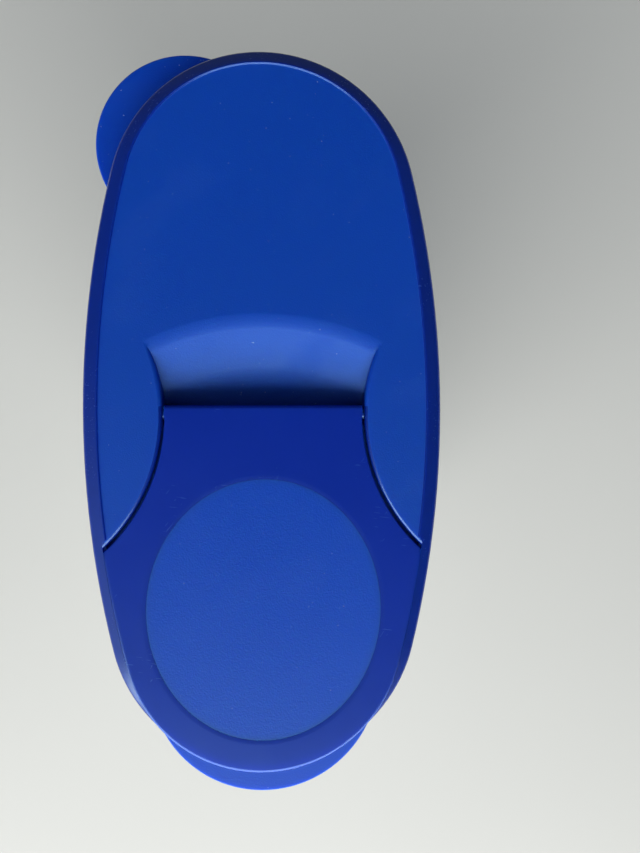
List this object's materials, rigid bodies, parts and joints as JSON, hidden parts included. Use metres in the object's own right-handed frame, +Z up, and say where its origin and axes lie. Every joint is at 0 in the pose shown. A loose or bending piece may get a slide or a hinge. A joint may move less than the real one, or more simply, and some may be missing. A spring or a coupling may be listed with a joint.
{
  "type": "oval storage canister with hinged pour flap",
  "caption": "Tall oval storage canister with a press-on blue lid, a hinged pour flap with an oval plug, and lift tabs at the front and rear corner.",
  "frame": {"origin": "middle of the base, on the flat pad that the canister rests on", "axes": "+Z up; +Y along the long side, from the pour flap at the front to the plain rear half of the lid; +X to the right, seen from above with the flap nearest"},
  "size_m": [0.1226, 0.2602, 0.23],
  "materials": {
    "frosted_body": "frosted natural polypropylene, smooth satin",
    "lid_blue": "royal blue, fine matte grain on the panel and tabs, gloss on the rounded band",
    "flap_blue": "royal blue, smooth gloss with fine scratches",
    "disc_blue": "royal blue, fine matte grain",
    "gasket": "pale soft silicone, dull",
    "pin_blue": "royal blue, smooth"
  },
  "bodies": {
    "container": {"container_body": "frosted_body"},
    "lid": {"lid_cover": "lid_blue", "lid_gasket": "gasket"},
    "flap": {"pour_flap": "flap_blue", "pour_plug": "disc_blue", "plug_gasket": "gasket", "hinge_pin_left": "pin_blue", "hinge_pin_right": "pin_blue"}
  },
  "joints": [
    {"name": "lid_lift", "type": "slide", "parent": "container", "child": "lid", "axis": [0, 0, 1], "range_m": [0, 0.06]},
    {"name": "flap_hinge", "type": "hinge", "parent": "lid", "child": "flap", "pos_m": [0, -0.0014, 0.2255], "axis": [-1, 0, 0], "range_deg": [0, 155]}
  ]
}
